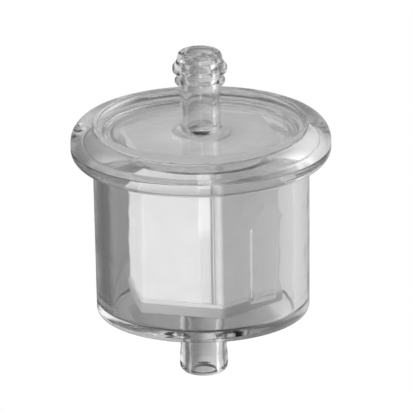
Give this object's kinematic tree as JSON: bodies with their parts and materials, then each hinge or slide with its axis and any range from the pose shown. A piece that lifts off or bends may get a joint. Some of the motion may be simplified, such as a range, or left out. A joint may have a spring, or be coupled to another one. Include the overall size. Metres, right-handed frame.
{
  "type": "in-line fuel filter",
  "caption": "Clear plastic in-line fuel filter: a round bowl with a thick-rimmed cap, a hose nipple at each end and a flat-sided paper cartridge inside.",
  "frame": {"origin": "centre of the inlet nipple's mouth, at the low end of the flow axis", "axes": "+Z runs along the flow axis from the inlet to the outlet; the flow arrow stands 34 degrees round from -Y towards +X"},
  "size_m": [0.0414, 0.0414, 0.0538],
  "materials": {
    "clear_bowl": "clear, glossy as moulded",
    "clear_cap": "clear, glossy as moulded",
    "weld": "cloudy where the plastic fused",
    "paper": "fine-fibred, matt",
    "seam": "smooth tape, matt",
    "cage_plastic": "natural, fine matt",
    "plate_plastic": "natural, fine matt",
    "grey_plastic": "grey, fine matt",
    "glue": "set glue, slightly cloudy",
    "seal_rubber": "pale, satin"
  },
  "bodies": {
    "root": {"bowl": "clear_bowl", "cap": "clear_cap", "weld_bead": "weld", "filter_paper": "paper", "seam_strip": "seam", "support_cage": "cage_plastic", "upper_end_plate": "plate_plastic", "lower_end_plate": "grey_plastic", "upper_glue_ring": "glue", "lower_glue_ring": "glue", "outlet_seal": "seal_rubber"}
  },
  "joints": []
}
